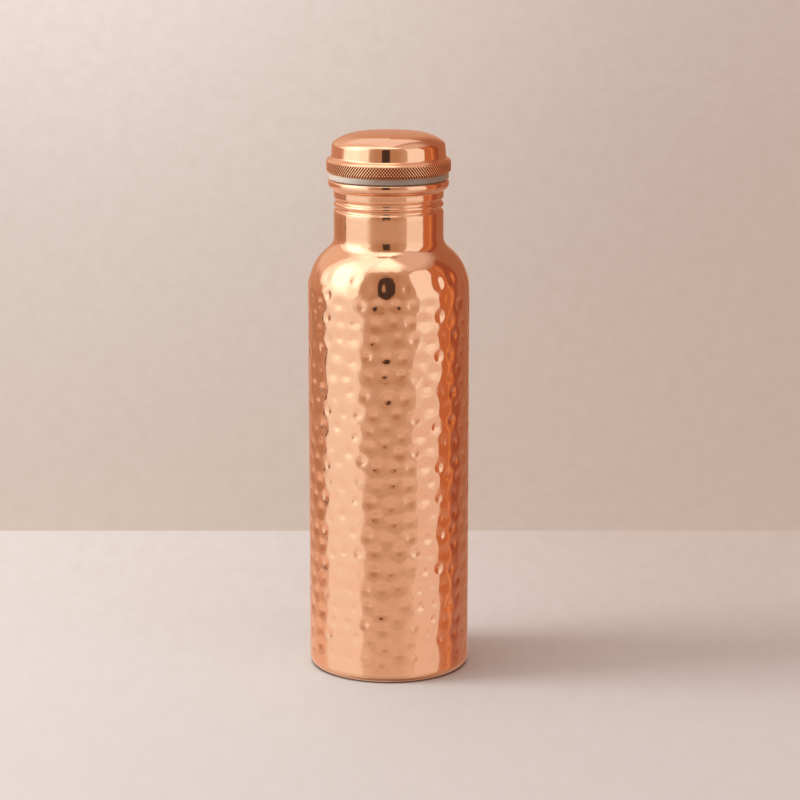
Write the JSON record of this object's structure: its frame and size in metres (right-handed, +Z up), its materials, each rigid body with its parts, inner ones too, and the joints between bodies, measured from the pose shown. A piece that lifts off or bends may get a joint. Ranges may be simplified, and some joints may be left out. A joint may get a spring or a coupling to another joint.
{
  "type": "copper water bottle",
  "caption": "Tall cylindrical hammered copper water bottle with a round shoulder, a grooved neck and a domed screw cap that has a knurled grip and a silicone seal.",
  "frame": {"origin": "centre of the flat ring that the bottle stands on", "axes": "+Z up along the bottle's axis, towards the cap; X and Y are square to it and to each other"},
  "size_m": [0.076, 0.076, 0.2562],
  "materials": {
    "hammered_copper": "hammered and polished copper",
    "polished_copper": "spun and polished copper",
    "knurled_copper": "diamond-knurled copper",
    "turned_copper": "turned copper, thread cut",
    "base_copper": "pressed copper, satin",
    "braze_metal": "brazing alloy as flowed",
    "seal_silicone": "translucent pale grey silicone"
  },
  "bodies": {
    "bottle": {"body_shell": "hammered_copper", "base_pan": "base_copper", "base_braze_ring": "braze_metal", "neck_thread_sleeve": "turned_copper"},
    "seal": {"sealing_gasket": "seal_silicone"},
    "cap": {"cap_threaded_plug": "turned_copper", "cap_grip_ring": "knurled_copper", "cap_solder_ring": "braze_metal", "cap_dome": "polished_copper"}
  },
  "joints": [
    {"name": "cap_rise", "type": "slide", "parent": "bottle", "child": "seal", "axis": [0, 0, 1], "range_m": [0, 0.02]},
    {"name": "cap_turn", "type": "hinge", "parent": "seal", "child": "cap", "pos_m": [0, 0, 0.237], "axis": [0, 0, 1], "range_deg": [0, 1800]}
  ],
  "couplings": [
    {"joint": "cap_rise", "follows": "cap_turn", "m_per_rad": 0.00063662}
  ]
}
